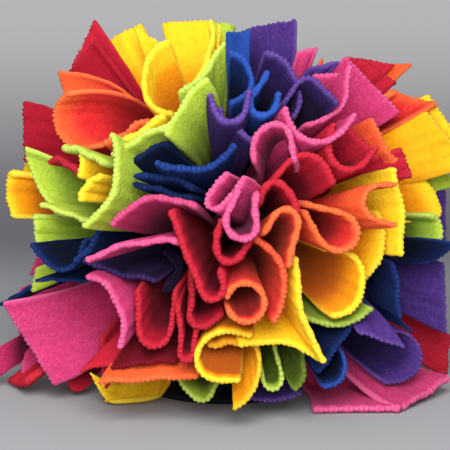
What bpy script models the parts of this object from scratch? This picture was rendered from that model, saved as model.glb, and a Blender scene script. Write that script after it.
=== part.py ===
"""A snuffle mat, bunched up into a mound: a ground cloth pushed up from below, with bundles of
fleece tabs knotted to its crown. Everything is in millimetres until it is made into a mesh."""
import math

import bmesh
import bpy
import numpy as np
from mathutils.bvhtree import BVHTree

MM = 0.001

# The mound.
CENTRE_HEIGHT = 97.0     # middle of the mound above the floor
FORM = 122.0             # radius out to the ends of the tabs
CROWN = 35.5             # radius of the ground cloth's crown
RISE = math.radians(14)  # how far the mound's front looks up
ASIDE = 4.0              # how much further the tabs reach right than left, over two

# The fleece.
FLEECE = 3.0             # thickness of a tab at its end
PULLED = 1.4             # thickness where it is pulled into the knot
GATHER = 0.18            # width at the knot, as a share of the width at the end
GAP = 0.3                # between neighbouring pieces
KNOT = 6.6               # radius of a knot
SEAT = 0.4               # between a knot and the crown that it is tied to
FREE = 1.0               # between neighbouring knots
FACETS = 0.2             # how far the flat faces of a knot lie inside its radius
LOWEST = 0.2             # between the floor and the underside of a tab
ROOT = 0.03              # where a tab starts in its knot, as a share of the way to its end

# How finely the pieces are made.
STEPS = 300              # in an end edge while it is bent
BEND = 48.0              # degrees that the edge turns through at each of its corners
EVEN = 60.0              # how far the corners spread over the straight stretches too, in degrees
BOWED = (0.0, 0.35, 0.7, 1.0)   # where a bowed tab has its points, from knot to end
AROUND = 18              # sides of the round ground cloth
ROUNDS = 200             # of pushing the knots apart
SLACK = 0.001            # share of its volume that a body may seem to gain or lose
FLAT = math.radians(0.5)  # faces that meet at less are one face

RIGHT = np.array([1.0, 0.0, 0.0])
UP = np.array([0.0, math.sin(RISE), math.cos(RISE)])
NEAR = np.array([0.0, -math.cos(RISE), math.sin(RISE)])
CENTRE = np.array([0.0, 0.0, CENTRE_HEIGHT])

COLOURS = {
    "red": (0.60, 0.02, 0.04), "orange": (0.87, 0.13, 0.03), "yellow": (0.95, 0.60, 0.01),
    "lime": (0.38, 0.56, 0.04), "blue": (0.02, 0.06, 0.30), "violet": (0.09, 0.03, 0.26),
    "pink": (0.68, 0.05, 0.20), "ground": (0.02, 0.02, 0.03),
}

# One row for each tab. The middle of its end edge lies right and up of the mound's middle, lift
# nearer than the mound's form. The edge runs at turn degrees and leans out by lean; it bends through
# curl degrees within the share fold of its width, about the place at. front 1 bends it in the plane
# of the mound's front, 0 square to the tab. Half way along, the tab bows over, down and near.
TABS = """
knot      right   up lift turn curl fold   at lean front width over down near
red_1       -86  106   -4   64  -50  1      0    0  0     38
red_1       -84  102    4   48  -20  1      0    0  0     22
red_2      -121   56  -16   90   10  1      0    0  0     36    0   -8    0
red_2       -97   37   -8  -20  -10  1      0   55  1     40
yellow_1    -60  116  -14   27   10  1      0    0  0     22
yellow_1    -44  112  -16  -34   10  1      0    0  0     26
yellow_1    -49   86    4   93 -158  1      0    0  1     58
orange_1    -96   79    2  104  -60  1      0    0  0     27   12  -14    0
orange_1   -100   56   10  112 -150  .9     0    0  0.2   58   14  -14    0
orange_1    -58   55  -16   27    0  1      0    0  1     30
lime_1      -84   42   -2  -22   10  1      0   50  1     40
lime_1      -49   51    0   27  -10  1      0    0  1     40
yellow_2    -50   56   -2   32  -20  1      0    0  1     34
yellow_2    -81   23    0   52  -20  1      0    0  0     20
yellow_2    -85   35   -6   84   10  1      0    0  0     14
lime_2     -112   25    4  115  -80  1      0    0  0     46
lime_2      -93    6   -6  -15   30  1      0    0  0     34
yellow_3   -131   19   -4   93 -130  1      0    0  0.3   32
yellow_3   -122   30  -30   80   40  1      0    0  0     24
lime_3      -64   23    4   73   90  1      0    0  1     62
lime_4     -112   -5   -6   95   10  1      0    0  0     22
lime_4     -114  -33  -16   80   10  1      0    0  0     14
blue_1      -97  -26    2    5  130  .8     0    0  1     48
blue_1     -127  -44   -8   24   10  1      0   60  0     40
blue_1      -76   -6  -10   60   20  1      0    0  0     40
blue_1      -97  -33  -10    0   10  1      0    0  1     30
pink_1     -117  -71   22  122  -20  1      0    0  0     58    2    6    0
pink_1      -62  -47    2  -65 -100  1      0    0  1     52
pink_2      -43   15    2   13  -90  1      0    0  1     56
pink_2      -54  -10    4   10  -50  1      0    0  1     58
violet_1    -62  -28  -12  -17   10  1      0    0  1     44
violet_1    -28  -28  -28   90  130  1      0    0  1     30
pink_3     -130  -72   -6   -5 -195  .8     0    0  1     55
pink_3     -124  -60  -32   91   20  1      0    0  0     43
red_3      -124  -95    2    0   10  1      0   70  0     34
red_3       -90  -99   12  -20  150  .8     0    0  1     30
red_3       -72  -82   -6   95   20  1      0    0  0     30
yellow_4    -21  122  -12    1   30  1      0    0  0     34
yellow_4    -11   97    4   74   40  1      0    0  1     48
yellow_4     -5  104  -12   80   20  1      0    0  1     30
lime_5       -4  121  -28   -5   10  1      0    0  0     20
lime_5      -12   91   -2   48   20  1      0    0  1     40
lime_5      -25   71    4   53  -30  1      0    0  1     42    4    0   10
blue_2        8  115  -22    4    0  1      0    0  0     14
blue_2       15   87   -2   90  150  1      0    0  1     42
blue_2       20   65    0  -20  190  .6    .1    0  1     48
violet_2     26  120  -14   12    0  1      0    0  0     34    5    0    0
violet_2     42   87   -3  111  110  1      0    0  1     50
violet_2     59   95   -8   10    0  1      0    0  0     18
violet_2     49   86    8    0  -95  .35    0    0  1     46
violet_4      4   62    0    6  150  .9     0    0  1     44
violet_4      5   56  -10  -40   80  1      0    0  1     30
blue_3      -15   32    0   12  105  1      0    0  1     52
blue_3      -35   27   -8  -10  -10  1      0    0  1     36
blue_3      -36   20  -14  -12  -10  1      0    0  1     36
blue_3      -49   41  -12   27  -20  1      0    0  1     36
pink_4       49  104   -8   10   10  1      0    0  0     12
pink_4       63   89   -8    0   20  1      0    0  0     20
pink_4       69   70    0   52   75  .7     0    0  1     50
pink_4       88   84    4  -46   10  1      0    0  0     46
pink_6       50   48    0  -13  130  .8   -.05   0  1     60
pink_6       27   60    2    2 -180  .8     0    0  1     58    8    0    0
red_4        88   99  -18  -10   20  1      0    0  0     28
red_4        92   93  -14  -35   10  1      0    0  0     26
orange_2    104   97  -24    6   60  1      0    0  0     18
orange_2    114   76   -4  -15  -90  1      0    0  0     30
orange_2     94   50  -12  -60   20  1      0    0  0     30
yellow_5    131   65   -6  -55   10  1      0    0  0     32
yellow_5    133   53    2  -50   10  1      0    0  0     46
red_5        67   35    0  -29  150  .8     0    0  1     54
red_5        79   50   -4  -44   20  1      0    0  1     32
red_5       107   37    2  -70   10  1      0    0  0     18
red_6        50   42    0  -10 -125  .6    .12   0  1     62
red_6        32   25   -4   -5 -150  .7     0    0  1     46
pink_7      -10    9    4  -38  185  .4   -.04   0  1     58   12    4    0
pink_7        9   -9    6   -9  200  .6     0    0  1     68
red_7        -7  -43    2   16  168  .3    .26   0  1     78    4    0    0
red_7         0  -21    0  -22  146  .4     0    0  1     52
orange_3     33  -27   -2  -75 -100  1      0    0  1     62
orange_3     36    9   -2  -17 -160  .5   -.12   0  1     58
orange_3     23  -46    4   90  330  1      0    0  1     64
yellow_6     82  -32    4   97  190  1      0    0  1     66
yellow_6     93  -17   -6 -106 -100  1      0    0  1     52
red_8       -15  -59   -4  -22  135  .4    .2    0  1     56
red_8       -23  -80    8   -3  175  .3    .1    0  1     56
red_8       -41  -71    2    0  165  .45    0    0  1     74
red_8       -48  -81    6    4  -15  1      0    0  1     38
red_8       -70  -83   18    9  -15  1      0    0  1     30
orange_4     76   -9    6   57  225  .7     0    0  1     84
orange_4     82   12    4   90 -170  .9     0    0  1     50
yellow_7    104    8    6  -85  -20  1      0    0  0     52
yellow_7    124   22   -6  -57 -140  1      0    0  0.4   44
lime_6       63   -58   -4   0   75  1      0    0  1     52
lime_6       47  -79   -4  100  120  1      0    0  1     40
lime_6       28  -97    4    5  190  .5   -.2    0  1     46
lime_7      130   -4    8   95  120  1      0    0  0.5   28
lime_7      131   33  -24  -40   10  1      0    0  0     26
blue_4      119  -23   -2   10  100  1      0    0  1     44
blue_4      102  -39    3  -84   10  1      0    0  0     32
blue_5       70  -67    0   55   15  1      0    0  1     50
blue_5       71  -84   10   85  170  1      0    0  1     40
blue_5      104  -56   -2  -45   10  1      0    0  0     22
violet_5    133    3  -26   90   10  1      0    0  0     36
violet_5    132  -44   -8  -88   10  1      0    0  0     42
violet_6    117  -78   26   92  160  .9     0    0  .8    60    2    4    0
violet_6     92  -67   34  -18  -20  1      0    0  1     28    4   -8    6
violet_7     28 -104    0    0   60  1      0    0  1     36
pink_8      118 -101   28   25    0  1      0  -50  0     56    8   12  -10
pink_8       78 -110   48    3    0  1      0    0  0     52   12   24  -28
red_9       135  -80  -36   85   10  1      0    0  0     26
orange_5    -45  -90   16    3  -15  1      0    0  1     58
yellow_8    -16  -78    6   90 -190  .9   -.05   0  1     72
yellow_8      3  -70   -8    0    0  1      0    0  1     26
yellow_11   -73 -101   30  118   10  1      0    0  0     30    4   28    0
yellow_9     19  -91    6 -105  -90  1      0    0  1     46
yellow_9     34  -70    2  -12  -50  1      0    0  1     52
yellow_9     45  -51    6  -73   40  1      0    0  1     64
lime_8      -14 -104    6    0  110  .4     0    0  1     42
"""

# The knots on the back of the mound, and the tabs each has there.
BACK_KNOTS = """
knot      right   up turn
yellow_12   -70   56   30
red_10        0   80    0
orange_6     65   50  -30
pink_9      -78  -15   80
blue_6       85  -15  -80
violet_8    -30   15   20
lime_9       30   15  -50
orange_7    -54  -52   60
red_11       50  -54  -20
"""
BACK_TABS = """
over  above turn curl width
   0      0    0  185    50
  27      8   75  120    54
 -25      5  -70 -120    54
   4    -27   10 -130    58
   2     27  -10   90    54
  -3    -36    5  110    54
"""


def read(table):
    """The rows of a table as dictionaries, each value under its column's name."""
    lines = [line.split() for line in table.strip().splitlines()]
    rows = []
    for line in lines[1:]:
        row = dict.fromkeys(lines[0], 0.0)
        for name, value in zip(lines[0], line):
            row[name] = value if name == "knot" else float(value)
        rows.append(row)
    return rows


def back_tabs():
    """The tabs of the mound's back, which face away from its front."""
    rows = []
    for knot in read(BACK_KNOTS):
        for tab in read(BACK_TABS):
            row = dict.fromkeys(("at", "lean", "over", "down", "near"), 0.0)
            row.update(knot=knot["knot"], right=knot["right"] + tab["over"], up=knot["up"] + tab["above"],
                       turn=knot["turn"] + tab["turn"], curl=tab["curl"], width=tab["width"])
            row.update(fold=0.8, front=1.0)
            row["lift"] = -2 * form_near(row)
            rows.append(row)
    return rows


def unit(vector):
    return vector / np.linalg.norm(vector)


def form_near(tab):
    return math.sqrt(max(FORM ** 2 - tab["right"] ** 2 - tab["up"] ** 2, 0.0))


def tip_of(tab):
    """The middle of a tab's end edge, from the mound's middle."""
    return tab["right"] * RIGHT + tab["up"] * UP + (form_near(tab) + tab["lift"]) * NEAR


def bend(tab):
    """The end edge laid out flat: how far it runs along its chord and to its side."""
    fine = np.linspace(-0.5, 0.5, STEPS + 1)
    share = np.clip(2 * (fine - tab["at"]) / tab["fold"], -1, 1)
    # A fold in part of the edge eases in and out.
    turned = share if tab["fold"] >= 1 else 1.5 * share - 0.5 * share ** 3
    angle = math.radians(tab["curl"]) / 2 * turned
    flat = np.zeros((STEPS + 1, 2))
    for column, way in enumerate((np.cos(angle), np.sin(angle))):
        flat[1:, column] = np.cumsum((way[1:] + way[:-1]) / 2) * tab["width"] / STEPS
        flat[:, column] -= np.interp(tab["at"], fine, flat[:, column])
    # The places are closer together where the edge bends more.
    effort = np.abs(np.gradient(turned, fine)) * abs(tab["curl"]) / 2 + EVEN
    run = np.concatenate([[0.0], np.cumsum((effort[1:] + effort[:-1]) / 2)])
    count = 2 + math.ceil(abs(tab["curl"]) / BEND)
    places = np.interp(np.linspace(0, run[-1], count + 1), run, fine)
    return np.stack([np.interp(places, fine, flat[:, 0]), np.interp(places, fine, flat[:, 1])], 1)


def tab_faces(tab, knot, grow=0.0):
    """The lower and upper face of a tab, each as points from the knot to the end and along the edge."""
    tip = tip_of(tab)
    turn, lean = math.radians(tab["turn"]), math.radians(tab["lean"])
    chord = unit(math.cos(turn) * RIGHT + math.sin(turn) * UP + math.tan(lean) * NEAR)
    way = unit(tip - knot)
    side = unit(np.cross(unit((1 - tab["front"]) * way + tab["front"] * NEAR), chord))
    flat = bend(tab)
    edge = flat[:, :1] * chord + flat[:, 1:] * side
    bow = tab["over"] * RIGHT - tab["down"] * UP + tab["near"] * NEAR
    shares = (0.0, 1.0) if np.linalg.norm(bow) < 1 else BOWED
    middle = []
    for share in shares:
        along = knot + (ROOT + (1 - ROOT) * share) * (tip - knot) + 4 * share * (1 - share) * bow
        middle.append(along + (GATHER + (1 - GATHER) * share) * edge + CENTRE)
    middle = np.array(middle)
    # What would sink into the floor lies level on it.
    middle[:, :, 2] = np.maximum(middle[:, :, 2], FLEECE / 2 + LOWEST)
    out = np.gradient(middle, axis=0)
    run = np.gradient(middle, axis=1)
    if grow:
        out /= np.linalg.norm(out, axis=2)[:, :, None]
        run /= np.linalg.norm(run, axis=2)[:, :, None]
        middle[-1] += grow * out[-1]
        middle[0] -= grow * out[0]
        middle[:, -1] += grow * run[:, -1]
        middle[:, 0] -= grow * run[:, 0]
    square = np.cross(out, run)
    square /= np.linalg.norm(square, axis=2)[:, :, None]
    thick = PULLED + (FLEECE - PULLED) * np.array(shares)[:, None, None] + 2 * grow
    return middle - square * thick / 2, middle + square * thick / 2


def knot_places(tabs):
    """A place on the crown for each knot, under its own tabs and clear of its neighbours."""
    names = sorted({tab["knot"] for tab in tabs})
    ways = np.array([unit(sum(unit(tip_of(t)) for t in tabs if t["knot"] == name)) for name in names])
    apart = (2 * KNOT + FREE) / (CROWN + KNOT)
    for _ in range(ROUNDS):
        push = np.zeros_like(ways)
        for i, way in enumerate(ways):
            away = way - ways
            far = np.linalg.norm(away, axis=1)
            close = (far < apart) & (far > 0)
            push[i] = (away[close] * (apart / far[close, None] - 1) / 2).sum(0)
        ways = ways + push
        ways /= np.linalg.norm(ways, axis=1)[:, None]
    return {name: way * (CROWN + GAP + KNOT) for name, way in zip(names, ways)}


def mesh_object(name, points, faces):
    """A closed mesh of triangles facing outward."""
    mesh = bpy.data.meshes.new(name)
    mesh.from_pydata([tuple(point * MM) for point in points], [], faces)
    shape = bmesh.new()
    shape.from_mesh(mesh)
    bmesh.ops.triangulate(shape, faces=shape.faces)
    bmesh.ops.recalc_face_normals(shape, faces=shape.faces)
    shape.to_mesh(mesh)
    shape.free()
    obj = bpy.data.objects.new(name, mesh)
    mat.objects.link(obj)
    return obj


def tab_object(name, tab, knot, grow=0.0):
    lower, upper = tab_faces(tab, knot, grow)
    levels, places = lower.shape[:2]
    points = np.concatenate([lower.reshape(-1, 3), upper.reshape(-1, 3)])

    def at(level, place, face):
        return (face * levels + level) * places + place

    faces = []
    for i in range(levels - 1):
        for j in range(places - 1):
            for face in (0, 1):
                faces.append((at(i, j, face), at(i, j + 1, face),
                              at(i + 1, j + 1, face), at(i + 1, j, face)))
        for j in (0, places - 1):
            faces.append((at(i, j, 0), at(i + 1, j, 0), at(i + 1, j, 1), at(i, j, 1)))
    for j in range(places - 1):
        for i in (0, levels - 1):
            faces.append((at(i, j, 0), at(i, j + 1, 0), at(i, j + 1, 1), at(i, j, 1)))
    return mesh_object(name, points, faces)


def knot_object(name, place, radius):
    shape = bmesh.new()
    bmesh.ops.create_icosphere(shape, subdivisions=1, radius=radius)
    points = [np.array(vert.co) + place + CENTRE for vert in shape.verts]
    faces = [tuple(vert.index for vert in face.verts) for face in shape.faces]
    shape.free()
    return mesh_object(name, points, faces)


def volume(mesh):
    """The volume a mesh encloses, or nothing if it is not closed."""
    shape = bmesh.new()
    shape.from_mesh(mesh)
    total = shape.calc_volume() if all(edge.is_manifold for edge in shape.edges) else 0.0
    shape.free()
    return total


def boolean(obj, other, operation, solver):
    modifier = obj.modifiers.new("boolean", "BOOLEAN")
    modifier.operation = operation
    modifier.solver = solver
    modifier.object = other
    result = bpy.data.meshes.new_from_object(obj.evaluated_get(bpy.context.evaluated_depsgraph_get()))
    obj.modifiers.clear()
    return result


def join(obj, other):
    """The object with the other joined to it."""
    own, others = volume(obj.data), volume(other.data)
    for solver in ("EXACT", "MANIFOLD"):
        result = boolean(obj, other, "UNION", solver)
        if (1 - SLACK) * max(own, others) < volume(result) < (1 + SLACK) * (own + others):
            break
    obj.data = result


def cut_back(cut, cutter):
    """What is left of one piece, clear of another, and how much it loses."""
    body = cut["body"]
    before = body.data
    for solver in ("EXACT", "MANIFOLD"):
        body.data = boolean(body, cutter["grown"], "DIFFERENCE", solver)
        keep_body(body, knots[cut["knot"]])
        clear = not tree_of(body).overlap(tree_of(cutter["body"]))
        if clear and 0 < volume(body.data) < (1 + SLACK) * volume(before):
            break
    after = body.data
    body.data = before
    return volume(before) - volume(after), after


def keep_body(obj, knot=None):
    """Only the body that lies nearest its knot, or only the largest."""
    shape = bmesh.new()
    shape.from_mesh(obj.data)
    unseen, bodies = set(shape.verts), []
    while unseen:
        front = [unseen.pop()]
        body = list(front)
        while front:
            for edge in front.pop().link_edges:
                for vert in edge.verts:
                    if vert in unseen:
                        unseen.remove(vert)
                        front.append(vert)
                        body.append(vert)
        bodies.append(body)
    if len(bodies) < 2:
        shape.free()
        return
    corners = [np.array([vert.co for vert in body]) for body in bodies]
    if knot is None:
        score = [-np.linalg.norm(np.ptp(corner, axis=0)) for corner in corners]
    else:
        score = [np.linalg.norm(corner - (knot + CENTRE) * MM, axis=1).min() for corner in corners]
    best = bodies[int(np.argmin(score))]
    for body in bodies:
        if body is best:
            continue
        bmesh.ops.delete(shape, geom=body, context="VERTS")
    shape.to_mesh(obj.data)
    shape.free()


def tree_of(obj):
    return tree_of_mesh(obj.data)


def tree_of_mesh(mesh):
    return BVHTree.FromPolygons([vert.co.copy() for vert in mesh.vertices],
                                [tuple(face.vertices) for face in mesh.polygons])


def remove(obj):
    bpy.data.objects.remove(obj)


for old in list(bpy.data.objects):
    remove(old)

mat = bpy.data.collections.new("snuffle mat")
bpy.context.scene.collection.children.link(mat)
tabs = read(TABS) + back_tabs()
knots = knot_places(tabs)

# The ground cloth, as the distance out and the height of its middle: flat on the floor at its rim,
# drawn in to a neck and pushed up into a round crown.
SHEET = 2.8
middle = CROWN - SHEET / 2
flare = [(52, SHEET / 2), (43, SHEET / 2), (37, 2.8), (29, 10), (22, 22), (18, 38), (16, 52), (17, 65)]
crown = [(middle * math.cos(math.radians(rise)), CENTRE_HEIGHT + middle * math.sin(math.radians(rise)))
         for rise in (-42, -20, 0, 20, 40, 58, 75, 90)]
outline = bpy.data.meshes.new("ground")
outline.from_pydata([(radius * MM, 0, height * MM) for radius, height in reversed(flare + crown)],
                    [(i, i + 1) for i in range(len(flare + crown) - 1)], [])
ground = bpy.data.objects.new("ground", outline)
mat.objects.link(ground)
turned = ground.modifiers.new("turned", "SCREW")
turned.steps = turned.render_steps = AROUND
turned.use_merge_vertices = True
turned.merge_threshold = 0.00001
cloth = ground.modifiers.new("cloth", "SOLIDIFY")
cloth.thickness = SHEET * MM
cloth.offset = 0
cloth.use_even_offset = True

# Each knot is drawn down on to the crown.
crown_faces = bpy.data.meshes.new_from_object(ground.evaluated_get(bpy.context.evaluated_depsgraph_get()))
crown_tree = tree_of_mesh(crown_faces)
for name, place in knots.items():
    ball = knot_object(name, place, KNOT)
    ball_tree = tree_of(ball)
    gap = min([crown_tree.find_nearest(vert.co)[3] for vert in ball.data.vertices]
              + [ball_tree.find_nearest(vert.co)[3] for vert in crown_faces.vertices]) / MM
    knots[name] = place - unit(place) * (gap - SEAT)
    remove(ball)

# Each tab and each knot is first a body of its own, with a copy grown by the gap to cut others with.
pieces = []
for number, tab in enumerate(tabs):
    place = knots[tab["knot"]]
    pieces.append({"knot": tab["knot"], "body": tab_object(f"tab_{number}", tab, place),
                   "grown": tab_object(f"grown_tab_{number}", tab, place, GAP)})
for name, place in knots.items():
    pieces.append({"knot": name, "body": knot_object(f"knot_{name}", place, KNOT),
                   "grown": knot_object(f"grown_knot_{name}", place, KNOT + GAP + FACETS)})
for piece in pieces:
    piece["tree"] = tree_of(piece["grown"])

# Where pieces of two knots would meet, the one that loses less is cut back clear of the other.
for i, first in enumerate(pieces):
    for second in pieces[i + 1:]:
        if first["knot"] == second["knot"] or not first["tree"].overlap(second["tree"]):
            continue
        near_second = tree_of(first["body"]).overlap(second["tree"])
        if not near_second and not tree_of(second["body"]).overlap(first["tree"]):
            continue
        lost_second, new_second = cut_back(second, first)
        lost_first, new_first = cut_back(first, second)
        if lost_second <= lost_first:
            second["body"].data = new_second
        else:
            first["body"].data = new_first

# The tabs of a knot are joined to it.
for name, place in knots.items():
    parts = [piece["body"] for piece in pieces if piece["knot"] == name]
    bundle = parts.pop()
    for part in parts:
        join(bundle, part)
        remove(part)
    keep_body(bundle)
    plain = bundle.data.copy()
    shape = bmesh.new()
    shape.from_mesh(plain)
    bmesh.ops.dissolve_limit(shape, angle_limit=FLAT, verts=shape.verts, edges=shape.edges)
    bmesh.ops.triangulate(shape, faces=shape.faces)
    shape.to_mesh(plain)
    shape.free()
    if volume(plain):
        bundle.data = plain
    bundle.name = bundle.data.name = name
for piece in pieces:
    remove(piece["grown"])

for obj in mat.objects:
    obj.location = (-ASIDE * MM, 0, 0)
    colour = COLOURS[obj.name.split("_")[0]]
    material = bpy.data.materials.new(obj.name)
    material.use_nodes = True
    surface = material.node_tree.nodes["Principled BSDF"]
    surface.inputs["Base Color"].default_value = (*colour, 1.0)
    surface.inputs["Roughness"].default_value = 0.95
    obj.data.materials.clear()
    obj.data.materials.append(material)
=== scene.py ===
"""A snuffle mat of rainbow fleece, bunched up into a mound: bundles of tabs with pinked ends,
knotted to the crown of a ground cloth. Sizes are in millimetres until they are made into a mesh."""
import math
import bmesh
import bpy
import numpy as np
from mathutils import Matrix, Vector


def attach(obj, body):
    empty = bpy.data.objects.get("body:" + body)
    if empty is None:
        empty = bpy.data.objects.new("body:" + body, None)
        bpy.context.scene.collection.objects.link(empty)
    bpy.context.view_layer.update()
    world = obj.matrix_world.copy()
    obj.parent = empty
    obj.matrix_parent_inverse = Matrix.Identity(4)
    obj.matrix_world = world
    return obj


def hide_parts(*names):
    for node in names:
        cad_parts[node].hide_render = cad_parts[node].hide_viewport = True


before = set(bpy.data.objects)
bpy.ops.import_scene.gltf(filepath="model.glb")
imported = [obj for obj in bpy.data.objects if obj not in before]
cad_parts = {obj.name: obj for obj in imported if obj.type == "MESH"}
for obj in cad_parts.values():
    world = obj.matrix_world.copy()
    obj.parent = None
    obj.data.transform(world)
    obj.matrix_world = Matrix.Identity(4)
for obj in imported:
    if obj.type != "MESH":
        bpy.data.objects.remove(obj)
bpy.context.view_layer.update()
collection = bpy.context.scene.collection

# The ground cloth: one round piece of black fleece, pushed up from below so that it stands as a
# round crown on a gathered neck, and lies flat on the floor at its rim. All tabs are tied to it.
MM = 0.001
ASIDE = 4.0              # the mound's middle lies this far left of the frame's
CENTRE = np.array([-ASIDE, 0.0, 97.0])
GROUND_OUTLINE = """
out  height
52   1.4
48   1.4
43   1.4
37   2.8
29   10
22   22
18   38
16   52
17   65
25.3 74.2
32   85.3
34.1 97
32   108.7
26   119
18   126
9    130
1    131
"""
GATHERS = 14             # folds around the neck
GATHER_STEPS = 8         # sides of the round cloth for each fold
GATHER_DEPTH = 1.6       # of a fold, where the neck is narrowest
NECK = 45.0              # height of the neck's middle
NECK_REACH = 24.0        # how far the folds run above and below it
PLAIN = 5.0              # from the middle of the crown out to where folds can start
GROUND_SHEET = 2.8       # thickness
NAP, TUFT, PATCH = 900.0, 420.0, 45.0   # how fine the three textures of fleece are, for each metre
NAP_LIGHT, TUFT_LIGHT = 0.9, 0.48       # how far the fibres' light and dark sides take colour
NAP_HEIGHT = 0.7         # of the nap's bumps, as a share of the tufts'
CUT_EVEN = 0.3           # how much of a cut edge's painted highlight lies evenly, where the nap breaks up the rest
CUT_SHADED = 0.4         # how much of it the painted shade takes away where it lies deepest
PATCHY = 0.15            # how unevenly the painted shade spreads
TO_FOLD_SHADE = (0.0, 0.4)     # from how much to how much painted shade fleece turns to its fold's shaded colour
TO_DARKEST_SHADE = (0.35, 1.25)   # and to its darkest painted shade


def read(table):
    """The rows of a table as dictionaries, each value under its column's name."""
    lines = [line.split() for line in table.strip().splitlines()]
    rows = []
    for line in lines[1:]:
        row = dict.fromkeys(lines[0], 0.0)
        for name, value in zip(lines[0], line):
            row[name] = value if name == "knot" else float(value)
        rows.append(row)
    return rows


class Socket:
    """One output of a material's nodes. Sums and products of it add Math nodes to the material."""

    def __init__(self, tree, output):
        self.tree = tree
        self.output = output

    def node(self, kind, settings=(), result=0, **inputs):
        """The result of a new node, whose settings are set first and its inputs after them."""
        node = self.tree.nodes.new("ShaderNode" + kind)
        for name, value in dict(settings).items():
            setattr(node, name, value)
        for name, value in inputs.items():
            key = int(name[1:]) if name[1:].isdigit() else name.replace("_", " ")
            socket = node.inputs[key]
            if isinstance(value, Socket):
                self.tree.links.new(value.output, socket)
            else:
                socket.default_value = value
        return Socket(self.tree, node.outputs[result])

    def math(self, operation, one, other):
        return self.node("Math", {"operation": operation}, _0=one, _1=other)

    def __add__(self, other):
        return self.math("ADD", self, other)

    def __radd__(self, other):
        return self.math("ADD", other, self)

    def __sub__(self, other):
        return self.math("SUBTRACT", self, other)

    def __rsub__(self, other):
        return self.math("SUBTRACT", other, self)

    def __mul__(self, other):
        return self.math("MULTIPLY", self, other)

    def __rmul__(self, other):
        return self.math("MULTIPLY", other, self)

    def limit(self):
        """The value, held between 0 and 1."""
        return self.node("Clamp", Value=self)

    def between(self, low, high):
        """How far the value has come on its smooth way from low to high, from 0 to 1."""
        return self.node("MapRange", {"interpolation_type": "SMOOTHSTEP"},
                         Value=self, From_Min=low, From_Max=high)

    def mix(self, one, other):
        """The first colour where the value is 0, and the second where it is 1."""
        return self.node("Mix", {"data_type": "RGBA"}, result=2, _0=self, _6=one, _7=other)


def paint(code):
    """A colour from its six hex digits, as the shader's light."""
    parts = [int(code[i:i + 2], 16) / 255 for i in (0, 2, 4)]
    return (*[x / 12.92 if x < 0.04045 else ((x + 0.055) / 1.055) ** 2.4 for x in parts], 1.0)


def fleece(name, face, fold_shade_colour, darkest_shade_colour, edge):
    """Brushed fleece: its face, its painted shade in folds and in depth, and its cut edge's painted
    highlight.
    """
    material = bpy.data.materials.new(name)
    material.use_nodes = True
    tree = material.node_tree
    surface = tree.nodes["Principled BSDF"]
    place = Socket(tree, tree.nodes.new("ShaderNodeTexCoord").outputs["Object"])
    nap = place.node("TexNoise", Vector=place, Scale=NAP, Detail=3.0, Roughness=0.6)
    tuft = place.node("TexNoise", Vector=place, Scale=TUFT, Detail=1.0, Roughness=0.5)
    patch = place.node("TexNoise", Vector=place, Scale=PATCH, Detail=1.0, Roughness=0.5)
    painted_shade = place.node("Attribute", {"attribute_name": "painted_shade"}, result=2)
    cut = place.node("Attribute", {"attribute_name": "cut"}, result=2)
    # Painted shade: the deeper a point lies in a fold or in the mound, the more it turns to the shaded
    # colours.
    patchy_shade = painted_shade + (patch - 0.5) * PATCHY
    colour = patchy_shade.between(*TO_FOLD_SHADE).mix(paint(face), paint(fold_shade_colour))
    colour = patchy_shade.between(*TO_DARKEST_SHADE).mix(colour, paint(darkest_shade_colour))
    # Fibres catch light on one side. The cut edge gets a painted highlight on their ends, less in
    # painted shade.
    light = (nap - 0.5) * NAP_LIGHT + (tuft - 0.5) * TUFT_LIGHT
    colour = (light * (1 - painted_shade)).limit().mix(colour, paint(edge))
    colour = (light * -1).limit().mix(colour, paint(darkest_shade_colour))
    colour = (cut * (nap + CUT_EVEN) * (1 - painted_shade * CUT_SHADED)).limit().mix(colour, paint(edge))
    tree.links.new(colour.output, surface.inputs["Base Color"])
    bump = place.node("Bump", Height=nap * NAP_HEIGHT + tuft, Strength=0.65, Distance=0.0009)
    tree.links.new(bump.output, surface.inputs["Normal"])
    surface.inputs["Roughness"].default_value = 0.95
    surface.inputs["Specular IOR Level"].default_value = 0.12
    surface.inputs["Sheen Weight"].default_value = 0.22
    surface.inputs["Sheen Roughness"].default_value = 0.55
    surface.inputs["Sheen Tint"].default_value = paint(edge)
    return material


outline = read(GROUND_OUTLINE)
profile = bpy.data.meshes.new("ground cloth")
profile.from_pydata([(row["out"] * MM, 0, row["height"] * MM) for row in outline],
                    [(i, i + 1) for i in range(len(outline) - 1)], [])
ground_cloth = bpy.data.objects.new("ground_cloth", profile)
collection.objects.link(ground_cloth)
ground_cloth.location.x = -ASIDE * MM
turned = ground_cloth.modifiers.new("turned", "SCREW")
turned.steps = turned.render_steps = GATHER_STEPS * GATHERS
turned.use_merge_vertices = True
bpy.context.view_layer.update()
evaluated = ground_cloth.evaluated_get(bpy.context.evaluated_depsgraph_get())
cloth = bpy.data.meshes.new_from_object(evaluated)
ground_cloth.modifiers.clear()
ground_cloth.data = cloth
for vert in cloth.vertices:
    height = vert.co.z / MM
    pulled = GATHER_DEPTH * math.exp(-((height - NECK) / NECK_REACH) ** 2)
    fold = math.cos(GATHERS * math.atan2(vert.co.y, vert.co.x))
    out = math.hypot(vert.co.x, vert.co.y) / MM
    if out > PLAIN:
        vert.co.x *= 1 + pulled * fold / out
        vert.co.y *= 1 + pulled * fold / out
sheet = ground_cloth.modifiers.new("sheet", "SOLIDIFY")
sheet.thickness = GROUND_SHEET * MM
sheet.offset = 0
cloth.shade_smooth()
cloth.materials.append(fleece("black fleece", "17171c", "0c0c10", "050507", "34343c"))
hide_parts("ground")
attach(ground_cloth, "root")

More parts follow.
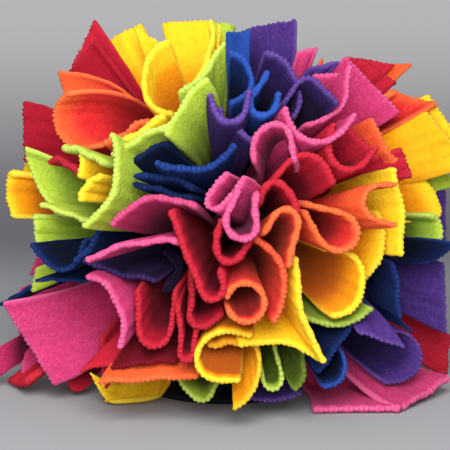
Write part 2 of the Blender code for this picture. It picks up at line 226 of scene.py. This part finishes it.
# The red tabs: strips of red brushed fleece, cut straight along their sides and with pinking
# shears across their ends. The tabs of a bundle are tied to the ground cloth with one tight knot.
FORM = 122.0             # from the mound's middle out to the ends of the tabs
RISE = math.radians(14)  # how far the mound's front looks up
RIGHT = np.array([1.0, 0.0, 0.0])
UP = np.array([0.0, math.sin(RISE), math.cos(RISE)])
NEAR = np.array([0.0, -math.cos(RISE), math.sin(RISE)])

FLEECE = 4.7             # thickness of a tab with its nap
PULLED = 2.4             # thickness where it is pulled into its knot
UNEVEN = 0.14            # how much its thickness varies, as a share
LUMP = 9.0               # from one thick place to the next, across a tab
GATHER = 0.30            # width at the knot, as a share of the width at the end
WIDENS = 1.4             # how soon a tab widens on its way out of the knot
ROOT = 0.03              # how far out of the knot's middle a tab starts, as a share of its length
ROWS = (0, 1.2, 2.8, 5, 9, 14, 20, 27, 35, 44, 54, 65, 77, 90)   # of points, back from its end
LAST_ROW = 0.92          # how far back they go, as a share of its length
EDGE_STEPS = 300         # in an end edge while it is bent
ABOVE_FLOOR = 0.3        # the gap that a tab keeps

WAVES = ((0.6, 0.9), (0.4, 0.4))   # the share of each wave, and how much of the width it takes
WAVE = 1.9               # how far a tab's face waves in and out at its end
WAVE_GROWS = 1.5         # how late on the way there
WAVE_TURNS = (0.5, 1.0)  # how much of a turn each wave can take within its part of the width
WAVE_SLANT = (-1.0, 1.0)   # how far it can move on from the knot to the end, in turns
PLEATS = 3
PLEAT = 1.3              # how far it is pleated where it is gathered

TOOTH = 3.0              # from one tooth of the pinked edge to the next
TOOTH_HEIGHT = 1.0
TOOTH_POINTS = (0.1, 0.72, 1.0, 0.72)
TOOTH_VARIES = (0.6, 1.2)   # how tall single teeth are
RIM = 0.6                # how far a cut edge stands out between the two faces
FRAY = 0.24              # how rough it is
SIDE_THINNED = 0.62      # how thick the faces are at the straight sides, as a share
END_THINNED = 0.53       # at the notches of the end
TOOTH_THICKER = 0.16     # and how much more at its teeth
NEXT_THINNED = 0.93      # and one row back from the end

# How much of the cut edge's painted highlight shows: at the straight sides, at the notches of the end
# and how much more at its teeth, the same two on the rim itself, and one column and one row in.
SIDE_CUT = 0.6
END_CUT, TOOTH_CUT = 0.3, 0.4
RIM_CUT, RIM_TOOTH_CUT = 0.35, 0.6
COLUMN_IN_CUT, ROW_IN_CUT = 0.15, 0.12

HOLLOW = 1.6             # how far in a curl is all in its painted shade, in radii of the curl
FULL_CURL = 100.0        # degrees from which the hollow side takes on all of its painted shade
LEAST_CURL = 10.0        # degrees of curl that a flat tab's radius is worked out from
SHADE_FROM, SHADE_OVER = 0.98, 0.5   # where painted shade for depth starts, and over how much of the form
DEPTH_SHADE = 0.7        # how much painted shade depth gives at most
TONE = 0.06              # how much tabs differ from each other
DEEPEST = 1.25           # the most that all painted shade adds up to
TIGHT = 149.0            # degrees of curl from which a fold's cut edge keeps its painted highlight
LIT = 5.0                # how far in from the end the painted shade takes to set in
EDGE_SHADE = 0.7             # how much of the cut edge's painted highlight a painted shade of 1 takes away elsewhere

KNOT = 6.6               # radius of a knot
KNOT_GROOVE = 0.10       # how deep the groove between its turns is, as a share of the radius
KNOT_TURNS = 2
KNOT_TWIST = 7.0
LEAST_AREA = 0.3         # of a bundle's tabs, as a share of their width by the longest one's length


def mesh_object(name, points, faces, painted_shade, cut, material):
    """A smooth mesh with the painted shade of each of its points and how near a cut edge it is."""
    mesh = bpy.data.meshes.new(name)
    mesh.from_pydata([tuple(point) for point in points * MM], [], faces)
    for label, values in (("painted_shade", painted_shade), ("cut", cut)):
        attribute = mesh.attributes.new(label, "FLOAT", "POINT")
        attribute.data.foreach_set("value", np.asarray(values, dtype=float))
    shape = bmesh.new()
    shape.from_mesh(mesh)
    bmesh.ops.recalc_face_normals(shape, faces=shape.faces)
    shape.to_mesh(mesh)
    shape.free()
    mesh.shade_smooth()
    mesh.materials.append(material)
    obj = bpy.data.objects.new(name, mesh)
    collection.objects.link(obj)
    return obj


def unit(vector):
    return vector / np.linalg.norm(vector)


def tip_of(tab):
    """The middle of a tab's end edge, from the mound's middle."""
    near = math.sqrt(max(FORM ** 2 - tab["right"] ** 2 - tab["up"] ** 2, 0.0))
    return tab["right"] * RIGHT + tab["up"] * UP + (near + tab["lift"]) * NEAR


def knot_of(node):
    """The middle of a bundle's knot, from the mound's middle: where its solid comes nearest."""
    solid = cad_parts[node]
    points = np.empty(3 * len(solid.data.vertices))
    solid.data.vertices.foreach_get("co", points)
    points = points.reshape(-1, 3) / MM - CENTRE
    far = np.linalg.norm(points, axis=1)
    return unit(points[far < far.min() + KNOT].mean(0)) * (far.min() + KNOT)


def bend(tab, columns):
    """The end edge laid out flat: how far it runs along its chord and to its side."""
    fine = np.linspace(-0.5, 0.5, EDGE_STEPS + 1)
    share = np.clip(2 * (fine - tab["at"]) / tab["fold"], -1, 1)
    # A bend that takes only part of the width runs smoothly into the flat parts beside it.
    turned = share if tab["fold"] >= 1 else 1.5 * share - 0.5 * share ** 3
    angle = math.radians(tab["curl"]) / 2 * turned
    flat = np.zeros((EDGE_STEPS + 1, 2))
    for column, way in enumerate((np.cos(angle), np.sin(angle))):
        flat[1:, column] = np.cumsum((way[1:] + way[:-1]) / 2) * tab["width"] / EDGE_STEPS
        flat[:, column] -= np.interp(tab["at"], fine, flat[:, column])
    places = np.linspace(-0.5, 0.5, columns + 1)
    return np.stack([np.interp(places, fine, flat[:, 0]), np.interp(places, fine, flat[:, 1])], 1)


def along(grid, axis):
    """The unit directions in which a grid of points runs."""
    way = np.gradient(grid, axis=axis)
    return way / np.maximum(np.linalg.norm(way, axis=2), 1e-9)[:, :, None]


def tab_middle(tab, knot, chance):
    """A tab's middle, as points in rows from its knot to its end and columns along its edge, with
    each row's share of the way and how far each column's tooth stands out."""
    tip = tip_of(tab)
    turn, lean = math.radians(tab["turn"]), math.radians(tab["lean"])
    chord = unit(math.cos(turn) * RIGHT + math.sin(turn) * UP + math.tan(lean) * NEAR)
    way = unit(tip - knot)
    side = unit(np.cross(unit((1 - tab["front"]) * way + tab["front"] * NEAR), chord))
    teeth = round(tab["width"] / TOOTH)
    flat = bend(tab, len(TOOTH_POINTS) * teeth)
    edge = flat[:, :1] * chord + flat[:, 1:] * side
    bow = tab["over"] * RIGHT - tab["down"] * UP + tab["near"] * NEAR
    length = np.linalg.norm(tip - knot)
    shares = np.array([1 - row / length for row in reversed(ROWS) if row < LAST_ROW * length])
    shares = np.concatenate([[0.0], shares])[:, None, None]
    spread = GATHER + (1 - GATHER) * (1 - (1 - shares) ** WIDENS)
    straight = knot + (ROOT + (1 - ROOT) * shares) * (tip - knot)
    middle = straight + 4 * shares * (1 - shares) * bow + spread * edge
    # The fleece waves a little at its end, is pleated where it is gathered and has its teeth.
    across = np.linspace(0, 1, len(flat))[None, :]
    down = shares[:, :, 0]
    wave = 0.0
    for size, reach in WAVES:
        turns = across * chance.uniform(*WAVE_TURNS) / reach
        turns = turns + down * chance.uniform(*WAVE_SLANT) + chance.uniform()
        wave = wave + size * np.sin(2 * math.pi * turns)
    pleats = np.sin(2 * math.pi * (PLEATS * across + chance.uniform()))
    wave = wave * WAVE * down ** WAVE_GROWS + PLEAT * (1 - down) ** 2 * pleats
    out, run = along(middle, 0), along(middle, 1)
    middle = middle + wave[:, :, None] * np.cross(out, run)
    tall = np.repeat(chance.uniform(*TOOTH_VARIES, teeth + 1), len(TOOTH_POINTS))[:len(flat)]
    tooth = np.resize(TOOTH_POINTS, len(flat)) * tall
    middle[-1] += TOOTH_HEIGHT * (tooth - 0.5)[:, None] * out[-1]
    middle += CENTRE
    middle[:, :, 2] = np.maximum(middle[:, :, 2], FLEECE / 2 + ABOVE_FLOOR)
    return middle, shares, tooth


def closed_sheet(middle, half, chance):
    """The points and faces of a sheet around its middle: two faces, and between them a frayed rim.
    The last result numbers the middle's points that lie along the border, in the rim's order."""
    rows, columns = middle.shape[:2]
    out, run = along(middle, 0), along(middle, 1)
    square = np.cross(out, run) * half[:, :, None]
    number = np.arange(rows * columns).reshape(rows, columns)
    border = np.concatenate([number[0, :-1], number[:-1, -1], number[-1, :0:-1], number[:0:-1, 0]])
    outward = np.zeros_like(middle)
    outward[-1] += out[-1]
    outward[0] -= out[0]
    outward[:, -1] += run[:, -1]
    outward[:, 0] -= run[:, 0]
    outward = outward.reshape(-1, 3)[border]
    outward /= np.linalg.norm(outward, axis=1)[:, None]
    rim = middle.reshape(-1, 3)[border] + RIM * outward + chance.normal(0, FRAY, (len(border), 3))
    points = np.concatenate([(middle + square).reshape(-1, 3), (middle - square).reshape(-1, 3), rim])
    lower = rows * columns
    corners = [number[:-1, :-1], number[1:, :-1], number[1:, 1:], number[:-1, 1:]]
    quads = np.stack(corners, -1).reshape(-1, 4)
    ring = 2 * lower + np.arange(len(border))
    after, ring_after = np.roll(border, -1), np.roll(ring, -1)
    faces = np.concatenate([quads, quads[:, ::-1] + lower,
                            np.stack([border, after, ring_after, ring], 1),
                            np.stack([ring, ring_after, after + lower, border + lower], 1)])
    return points, faces, border


def cut_colour(tooth, rows, border):
    """How much of the cut edge's painted highlight shows at each point of a tab, most of all at its
    teeth.
    """
    cut = np.zeros((rows, len(tooth)))
    cut[:, 0] = cut[:, -1] = SIDE_CUT
    cut[-1] = END_CUT + TOOTH_CUT * tooth
    cut[:, [1, -2]] = np.maximum(cut[:, [1, -2]], COLUMN_IN_CUT)
    cut[-2] = np.maximum(cut[-2], ROW_IN_CUT)
    rim = np.ones((rows, len(tooth)))
    rim[-1] = RIM_CUT + RIM_TOOTH_CUT * tooth
    return np.concatenate([cut.ravel(), cut.ravel(), rim.ravel()[border]])


def hollow_shade(tab, from_end, border):
    """How far each point takes on the painted shade of a hollow, which only the inside of a curl has."""
    curl = abs(tab["curl"])
    radius = tab["width"] * tab["fold"] / math.radians(max(curl, LEAST_CURL))
    hollow = min(curl / FULL_CURL, 1) * np.clip(from_end / (HOLLOW * radius), 0, 1)
    upper, under = (hollow, 0 * hollow) if tab["curl"] > 0 else (0 * hollow, hollow)
    return np.concatenate([upper, under, 0 * border])


def depth_shade_of(points):
    """Painted shade for how deep points lie in the mound, from 0 at the ends of the tabs to 1 at the
    knots.
    """
    far = np.linalg.norm(points - CENTRE, axis=1) / FORM
    return np.clip((SHADE_FROM - far) / SHADE_OVER, 0, 1)


def tab_mesh(tab, knot, chance, shade):
    """A tab's points and faces, the painted shade of each point and how near the cut edge it lies."""
    middle, shares, tooth = tab_middle(tab, knot, chance)
    rows, columns = middle.shape[:2]
    half = np.repeat((PULLED + (FLEECE - PULLED) * shares[:, :, 0]) / 2, columns, axis=1)
    across = np.linspace(0, tab["width"] / LUMP, columns)
    half = half * (1 + UNEVEN * np.sin(2 * math.pi * (across + chance.uniform())) * shares[:, :, 0])
    # The faces draw in towards the cut edge, which stands out between them.
    half[-1] *= END_THINNED + TOOTH_THICKER * tooth
    half[:, [0, -1]] *= SIDE_THINNED
    half[-2, 1:-1] *= NEXT_THINNED
    points, faces, border = closed_sheet(middle, half, chance)
    from_end = np.repeat((1 - shares[:, :, 0]) * np.linalg.norm(tip_of(tab) - knot), columns)
    # Painted shade for lying deep in the mound or in a curl's hollow; the bundle's own is added below.
    painted_shade = np.maximum(DEPTH_SHADE * depth_shade_of(points), hollow_shade(tab, from_end, border))
    shaded, edge_shade = shade, EDGE_SHADE * max(shade, 0) ** 2
    if abs(tab["curl"]) > TIGHT:
        # A tight fold's cut edge keeps its painted highlight; the painted shade starts a little way in.
        behind = np.concatenate([from_end, from_end, from_end[border]])
        shaded, edge_shade = shade * np.clip(behind / LIT, 0, 1), 0.0
    painted_shade = np.clip(painted_shade + chance.uniform(0, TONE) + shaded, 0, DEEPEST)
    return points, faces, painted_shade, cut_colour(tooth, rows, border) * (1 - edge_shade)


def knot_mesh(knot):
    """A knot: a tight round lump with two turns of fleece around it."""
    shape = bmesh.new()
    bmesh.ops.create_icosphere(shape, subdivisions=3, radius=1)
    ball = np.array([vert.co for vert in shape.verts])
    faces = np.array([[vert.index for vert in face.verts] for face in shape.faces])
    shape.free()
    around = KNOT_TURNS * np.arctan2(ball[:, 1], ball[:, 0]) + KNOT_TWIST * ball[:, 2]
    points = knot + CENTRE + KNOT * ball * (1 + KNOT_GROOVE * np.sin(around))[:, None]
    # These faces have three corners, and a tab's have four: -1 stands for the one that isn't there.
    faces = np.column_stack([faces, np.full(len(faces), -1)])
    # A knot is painted in the shade of its depth in the mound.
    return points, faces, depth_shade_of(points), np.zeros(len(points))


def bundles(rows, material, shades=()):
    """One piece for each knot of the rows: its tabs and the knot that ties them to the ground cloth.
    Shades says how much painted shade darkens the tabs of a bundle, from first to last, where they lie
    deep."""
    for number, name in enumerate(dict.fromkeys(row["knot"] for row in rows)):
        tabs = [row for row in rows if row["knot"] == name]
        knot = knot_of(name)
        # Each bundle draws its own random numbers, so that a change to one leaves the others alone.
        chance = np.random.default_rng(sum(map(ord, name)) + 7 * number)
        shade = np.resize(dict(shades).get(name, 0.0), len(tabs))
        parts = [tab_mesh(tab, knot, chance, darker) for tab, darker in zip(tabs, shade)]
        parts.append(knot_mesh(knot))
        starts = np.cumsum([0] + [len(part[0]) for part in parts])
        faces = [[corner + start for corner in face if corner >= 0]
                 for start, part in zip(starts, parts) for face in part[1].tolist()]
        points, painted_shade, cut = (np.concatenate([part[i] for part in parts]) for i in (0, 2, 3))
        obj = mesh_object(name + "_tabs", points, faces, painted_shade, cut, material)
        length = max(np.linalg.norm(tip_of(tab) - knot) for tab in tabs) * MM
        width = sum(tab["width"] for tab in tabs) * MM
        area = sum(face.area for face in obj.data.polygons) / 2
        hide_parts(name)
        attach(obj, "root")
        float(np.clip(area, LEAST_AREA * width * length, width * length))


# One row for each tab, here and in the tables below. The middle of its end edge lies right and up of
# the mound's middle, and lift nearer than the mound's form. The edge runs at turn degrees and leans
# out by lean; it bends through curl degrees within the share fold of its width, about the place at.
# front 1 bends it in the plane of the mound's front, 0 square to the tab. Half way along, the tab
# bows over, down and near.
RED_TABS = """
knot      right   up lift turn curl fold   at lean front width over down near
red_1       -86  106   -4   64  -50  1      0    0  0     38
red_1       -84  102    4   48  -20  1      0    0  0     22
red_2      -121   56  -16   90   10  1      0    0  0     36    0   -8    0
red_2       -97   37   -8  -20  -10  1      0   55  1     40
red_3      -124  -95    2    0   10  1      0   70  0     34
red_3       -90  -99   12  -20  150  .8     0    0  1     30
red_3       -72  -82   -6   95   20  1      0    0  0     30
red_4        88   99  -18  -10   20  1      0    0  0     28
red_4        92   93  -14  -35   10  1      0    0  0     26
red_5        67   35    0  -29  150  .8     0    0  1     54
red_5        79   50   -4  -44   20  1      0    0  1     32
red_5       107   37    2  -70   10  1      0    0  0     18
red_6        50   42    0  -10 -125  .6    .12   0  1     62
red_6        32   25   -4   -5 -150  .7     0    0  1     46
red_7        -7  -43    2   16  168  .3    .26   0  1     78    4    0    0
red_7         0  -21    0  -22  146  .4     0    0  1     52
red_8       -15  -59   -4  -22  135  .4    .2    0  1     56
red_8       -23  -80    8   -3  175  .3    .1    0  1     56
red_8       -41  -71    2    0  165  .45    0    0  1     74
red_8       -48  -81    6    4  -15  1      0    0  1     38
red_8       -70  -83   18    9  -15  1      0    0  1     30
red_9       135  -80  -36   85   10  1      0    0  0     26
"""
# Painted shade for each bundle's tabs, first to last: darker deep in the mound or in another tab's
# shadow, lighter below 0.
RED_SHADES = {
    "red_1": (0, 0.4), "red_2": (0.3, 0.1), "red_6": (0, 0.2), "red_7": (0.1, 0.15),
    "red_8": (0.15, 0.15, 0.1, 0.9, 0)
}
red_fleece = fleece("red fleece", "b81f34", "9c1428", "400812", "c02e3c")
bundles(read(RED_TABS), red_fleece, RED_SHADES)

# The orange tabs: the same fleece in orange, in the big cup at the upper left, the roll in the
# middle, the open cup right of it and flat ends between the reds.
ORANGE_TABS = """
knot      right   up lift turn curl fold   at lean front width over down near
orange_1    -96   79    2  104  -60  1      0    0  0     27   12  -14    0
orange_1   -100   56   10  112 -150  .9     0    0  0.2   58   14  -14    0
orange_1    -58   55  -16   27    0  1      0    0  1     30
orange_2    104   97  -24    6   60  1      0    0  0     18
orange_2    114   76   -4  -15  -90  1      0    0  0     30
orange_2     94   50  -12  -60   20  1      0    0  0     30
orange_3     33  -27   -2  -75 -100  1      0    0  1     62
orange_3     36    9   -2  -17 -160  .5   -.12   0  1     58
orange_3     23  -46    4   90  330  1      0    0  1     64
orange_4     76   -9    6   57  225  .7     0    0  1     84
orange_4     82   12    4   90 -170  .9     0    0  1     50
orange_5    -45  -90   16    3  -15  1      0    0  1     58
"""
# Painted shade for each bundle's tabs, first to last.
ORANGE_SHADES = {
    "orange_1": (-0.1, -0.05, 0), "orange_3": (0.3, 0.3, 0.6)
}
orange_fleece = fleece("orange fleece", "ec5c30", "cc262c", "740c1a", "f67e48")
bundles(read(ORANGE_TABS), orange_fleece, ORANGE_SHADES)

# The yellow tabs: the same fleece in yellow, in the tall pieces at the top, the trumpet left of
# them, the wide flaps at the right and the folds at the foot.
YELLOW_TABS = """
knot      right   up lift turn curl fold   at lean front width over down near
yellow_1    -60  116  -14   27   10  1      0    0  0     22
yellow_1    -44  112  -16  -34   10  1      0    0  0     26
yellow_1    -49   86    4   93 -158  1      0    0  1     58
yellow_2    -50   56   -2   32  -20  1      0    0  1     34
yellow_2    -81   23    0   52  -20  1      0    0  0     20
yellow_2    -85   35   -6   84   10  1      0    0  0     14
yellow_3   -131   19   -4   93 -130  1      0    0  0.3   32
yellow_3   -122   30  -30   80   40  1      0    0  0     24
yellow_4    -21  122  -12    1   30  1      0    0  0     34
yellow_4    -11   97    4   74   40  1      0    0  1     48
yellow_4     -5  104  -12   80   20  1      0    0  1     30
yellow_5    131   65   -6  -55   10  1      0    0  0     32
yellow_5    133   53    2  -50   10  1      0    0  0     46
yellow_6     82  -32    4   97  190  1      0    0  1     66
yellow_6     93  -17   -6 -106 -100  1      0    0  1     52
yellow_7    104    8    6  -85  -20  1      0    0  0     52
yellow_7    124   22   -6  -57 -140  1      0    0  0.4   44
yellow_8    -16  -78    6   90 -190  .9   -.05   0  1     72
yellow_8      3  -70   -8    0    0  1      0    0  1     26
yellow_11   -73 -101   30  118   10  1      0    0  0     30    4   28    0
yellow_9     19  -91    6 -105  -90  1      0    0  1     46
yellow_9     34  -70    2  -12  -50  1      0    0  1     52
yellow_9     45  -51    6  -73   40  1      0    0  1     64
"""
# Painted shade for each bundle's tabs, first to last.
YELLOW_SHADES = {
    "yellow_1": (0, 0, -0.3), "yellow_4": -0.15, "yellow_5": (0.1, 0.2), "yellow_6": (0.25, 0),
    "yellow_7": -0.15, "yellow_8": (0.9, 0.6), "yellow_9": (0.2, 0, 0)
}
yellow_fleece = fleece("yellow fleece", "fdd022", "ef960c", "a44812", "ffe04a")
bundles(read(YELLOW_TABS), yellow_fleece, YELLOW_SHADES)

# The lime tabs: the same fleece in lime green, mostly as long leaves and rims between the
# yellow and the blue.
LIME_TABS = """
knot      right   up lift turn curl fold   at lean front width over down near
lime_1      -84   42   -2  -22   10  1      0   50  1     40
lime_1      -49   51    0   27  -10  1      0    0  1     40
lime_2     -112   25    4  115  -80  1      0    0  0     46
lime_2      -93    6   -6  -15   30  1      0    0  0     34
lime_3      -64   23    4   73   90  1      0    0  1     62
lime_4     -112   -5   -6   95   10  1      0    0  0     22
lime_4     -114  -33  -16   80   10  1      0    0  0     14
lime_5       -4  121  -28   -5   10  1      0    0  0     20
lime_5      -12   91   -2   48   20  1      0    0  1     40
lime_5      -25   71    4   53  -30  1      0    0  1     42    4    0   10
lime_6       63   -58   -4   0   75  1      0    0  1     52
lime_6       47  -79   -4  100  120  1      0    0  1     40
lime_6       28  -97    4    5  190  .5   -.2    0  1     46
lime_7      130   -4    8   95  120  1      0    0  0.5   28
lime_7      131   33  -24  -40   10  1      0    0  0     26
lime_8      -14 -104    6    0  110  .4     0    0  1     42
"""
# Painted shade for each bundle's tabs, first to last.
LIME_SHADES = {
    "lime_6": (0.45, 0.9, 0.8), "lime_8": 0.2
}
lime_fleece = fleece("lime fleece", "b0ca3c", "82a030", "34460e", "cee272")
bundles(read(LIME_TABS), lime_fleece, LIME_SHADES)

# The blue tabs: the same fleece in dark blue, in long folds left of the middle and at the top,
# and in flaps low on both sides.
BLUE_TABS = """
knot      right   up lift turn curl fold   at lean front width over down near
blue_1      -97  -26    2    5  130  .8     0    0  1     48
blue_1     -127  -44   -8   24   10  1      0   60  0     40
blue_1      -76   -6  -10   60   20  1      0    0  0     40
blue_1      -97  -33  -10    0   10  1      0    0  1     30
blue_2        8  115  -22    4    0  1      0    0  0     14
blue_2       15   87   -2   90  150  1      0    0  1     42
blue_2       20   65    0  -20  190  .6    .1    0  1     48
blue_3      -15   32    0   12  105  1      0    0  1     52
blue_3      -35   27   -8  -10  -10  1      0    0  1     36
blue_3      -36   20  -14  -12  -10  1      0    0  1     36
blue_3      -49   41  -12   27  -20  1      0    0  1     36
blue_4      119  -23   -2   10  100  1      0    0  1     44
blue_4      102  -39    3  -84   10  1      0    0  0     32
blue_5       70  -67    0   55   15  1      0    0  1     50
blue_5       71  -84   10   85  170  1      0    0  1     40
blue_5      104  -56   -2  -45   10  1      0    0  0     22
"""
# Painted shade for each bundle's tabs, first to last.
BLUE_SHADES = {
    "blue_1": 0.75, "blue_2": (-0.4, 0.1, 0.2), "blue_3": (0.45, 0.85, 0.85, 0.95), "blue_4": 0.65,
    "blue_5": (0.7, 0.7, 0.55)
}
blue_fleece = fleece("blue fleece", "26489a", "101e4a", "04060e", "3056b0")
bundles(read(BLUE_TABS), blue_fleece, BLUE_SHADES)

# The purple tabs: the same fleece in purple, in the folds at the top and the rolled piece at
# the lower right.
VIOLET_TABS = """
knot      right   up lift turn curl fold   at lean front width over down near
violet_1    -62  -28  -12  -17   10  1      0    0  1     44
violet_1    -28  -28  -28   90  130  1      0    0  1     30
violet_2     26  120  -14   12    0  1      0    0  0     34    5    0    0
violet_2     42   87   -3  111  110  1      0    0  1     50
violet_2     59   95   -8   10    0  1      0    0  0     18
violet_2     49   86    8    0  -95  .35    0    0  1     46
violet_4      4   62    0    6  150  .9     0    0  1     44
violet_4      5   56  -10  -40   80  1      0    0  1     30
violet_5    133    3  -26   90   10  1      0    0  0     36
violet_5    132  -44   -8  -88   10  1      0    0  0     42
violet_6    117  -78   26   92  160  .9     0    0  .8    60    2    4    0
violet_6     92  -67   34  -18  -20  1      0    0  1     28    4   -8    6
violet_7     28 -104    0    0   60  1      0    0  1     36
"""
# Painted shade for each bundle's tabs, first to last.
VIOLET_SHADES = {
    "violet_1": (0.8, 1.2), "violet_2": (0, 0.1, 0, 0.25), "violet_4": 0.15,
    "violet_6": (-0.15, -0.4), "violet_7": 0.3
}
violet_fleece = fleece("purple fleece", "462c74", "26184c", "0b0616", "7656a8")
bundles(read(VIOLET_TABS), violet_fleece, VIOLET_SHADES)

# The pink tabs: the same fleece in pink, in the large flat pieces left and right, the tight
# folds in the middle and the ends that lie flat on the floor.
PINK_TABS = """
knot      right   up lift turn curl fold   at lean front width over down near
pink_1     -117  -71   22  122  -20  1      0    0  0     58    2    6    0
pink_1      -62  -47    2  -65 -100  1      0    0  1     52
pink_2      -43   15    2   13  -90  1      0    0  1     56
pink_2      -54  -10    4   10  -50  1      0    0  1     58
pink_3     -130  -72   -6   -5 -195  .8     0    0  1     55
pink_3     -124  -60  -32   91   20  1      0    0  0     43
pink_4       49  104   -8   10   10  1      0    0  0     12
pink_4       63   89   -8    0   20  1      0    0  0     20
pink_4       69   70    0   52   75  .7     0    0  1     50
pink_4       88   84    4  -46   10  1      0    0  0     46
pink_6       50   48    0  -13  130  .8   -.05   0  1     60
pink_6       27   60    2    2 -180  .8     0    0  1     58    8    0    0
pink_7      -10    9    4  -38  185  .4   -.04   0  1     58   12    4    0
pink_7        9   -9    6   -9  200  .6     0    0  1     68
pink_8      118 -101   28   25    0  1      0  -50  0     56    8   12  -10
pink_8       78 -110   48    3    0  1      0    0  0     52   12   24  -28
"""
# Painted shade for each bundle's tabs, first to last.
PINK_SHADES = {
    "pink_2": (0.45, 0), "pink_6": (0, 0.3), "pink_7": (0.1, 0.9), "pink_8": -0.3
}
pink_fleece = fleece("pink fleece", "c8386e", "b02656", "300818", "ec72a4")
bundles(read(PINK_TABS), pink_fleece, PINK_SHADES)

# The hidden back: more bundles of all colours, plainly arranged, so that the mound is full all round.
# Each has the same six tabs, set about its own place and turned with it.
BACK_FOLD = 0.8          # the share of a tab's width that bends
BACK_KNOTS = """
knot      right   up turn
yellow_12   -70   56   30
red_10        0   80    0
orange_6     65   50  -30
pink_9      -78  -15   80
blue_6       85  -15  -80
violet_8    -30   15   20
lime_9       30   15  -50
orange_7    -54  -52   60
red_11       50  -54  -20
"""
BACK_TABS = """
over  above turn curl width
   0      0    0  185    50
  27      8   75  120    54
 -25      5  -70 -120    54
   4    -27   10 -130    58
   2     27  -10   90    54
  -3    -36    5  110    54
"""
back_fleeces = {"red": red_fleece, "orange": orange_fleece, "yellow": yellow_fleece, "lime": lime_fleece,
                "blue": blue_fleece, "violet": violet_fleece, "pink": pink_fleece}
for back_knot in read(BACK_KNOTS):
    spread_tabs = []
    for back_tab in read(BACK_TABS):
        row = dict.fromkeys(("at", "lean", "over", "down", "near", "lift"), 0.0)
        row.update(knot=back_knot["knot"], right=back_knot["right"] + back_tab["over"],
                   up=back_knot["up"] + back_tab["above"], turn=back_knot["turn"] + back_tab["turn"],
                   curl=back_tab["curl"], width=back_tab["width"], fold=BACK_FOLD, front=1.0)
        # As far behind the mound's middle as a front tab would stand before it.
        row["lift"] = -2 * tip_of(row) @ NEAR
        spread_tabs.append(row)
    back_colour = back_knot["knot"].split("_")[0]
    bundles(spread_tabs, back_fleeces[back_colour])

# The studio: a pale floor, with painted shade darker behind the mound and painted light paler again
# beyond, under one soft light from above the camera and a weaker one in front.
# Floor paint: pale in front, painted shade behind the mound, painted light beyond.
PALE, SHADE, BEYOND = "a8aaad", "7f7f85", "ffffff"
NEAR_BY, DARKEST, FAR = 0.19, 0.36, 1.16     # metres behind the mound's middle
FLOOR = 6.0              # metres from its middle to its sides
AIM = (0, 0, 0.1)        # where the lights point, in metres
CAMERA_AWAY = 3.5        # metres
HALF_VIEW = 0.135        # half of the square that the camera sees, at the mound's middle


def floor_paint():
    """Matt grey paint in bands that run into each other: painted shade behind the mound, painted light
    beyond.
    """
    material = bpy.data.materials.new("floor paint")
    material.use_nodes = True
    tree = material.node_tree
    surface = tree.nodes["Principled BSDF"]
    place = Socket(tree, tree.nodes.new("ShaderNodeTexCoord").outputs["Object"])
    back = place.node("SeparateXYZ", result=1, Vector=place)
    colour = back.between(NEAR_BY, DARKEST).mix(paint(PALE), paint(SHADE))
    colour = back.between(DARKEST, FAR).mix(colour, paint(BEYOND))
    tree.links.new(colour.output, surface.inputs["Base Color"])
    surface.inputs["Roughness"].default_value = 0.8
    surface.inputs["Specular IOR Level"].default_value = 0.1
    return material


board = bpy.data.meshes.new("floor")
board.from_pydata([(-FLOOR, -FLOOR, 0), (FLOOR, -FLOOR, 0), (FLOOR, FLOOR, 0), (-FLOOR, FLOOR, 0)],
                  [], [(0, 1, 2, 3)])
board.materials.append(floor_paint())
floor = bpy.data.objects.new("floor", board)
collection.objects.link(floor)


def soft_light(name, place, size, power):
    lamp = bpy.data.lights.new(name, "AREA")
    lamp.size = size
    lamp.energy = power
    obj = bpy.data.objects.new(name, lamp)
    obj.location = place
    obj.rotation_euler = (Vector(AIM) - obj.location).to_track_quat("-Z", "Y").to_euler()
    collection.objects.link(obj)


soft_light("key light", place=(-0.05, -1.00, 0.90), size=0.9, power=19)
soft_light("fill light", place=(-0.15, -1.50, 0.45), size=0.8, power=7.5)
world = bpy.data.worlds.new("studio")
world.use_nodes = True
world.node_tree.nodes["Background"].inputs["Color"].default_value = (0.5, 0.5, 0.52, 1.0)
world.node_tree.nodes["Background"].inputs["Strength"].default_value = 0.65
bpy.context.scene.world = world
bpy.context.scene.view_settings.view_transform = "Standard"

camera = bpy.data.objects.new("camera", bpy.data.cameras.new("camera"))
camera.location = Vector((CENTRE * MM).tolist()) + CAMERA_AWAY * Vector(NEAR.tolist())
camera.rotation_euler = (math.pi / 2 - RISE, 0, 0)
camera.data.angle = 2 * math.atan(HALF_VIEW / CAMERA_AWAY)
camera.data.clip_start = 0.1
collection.objects.link(camera)
bpy.context.scene.camera = camera

bpy.context.view_layer.update()
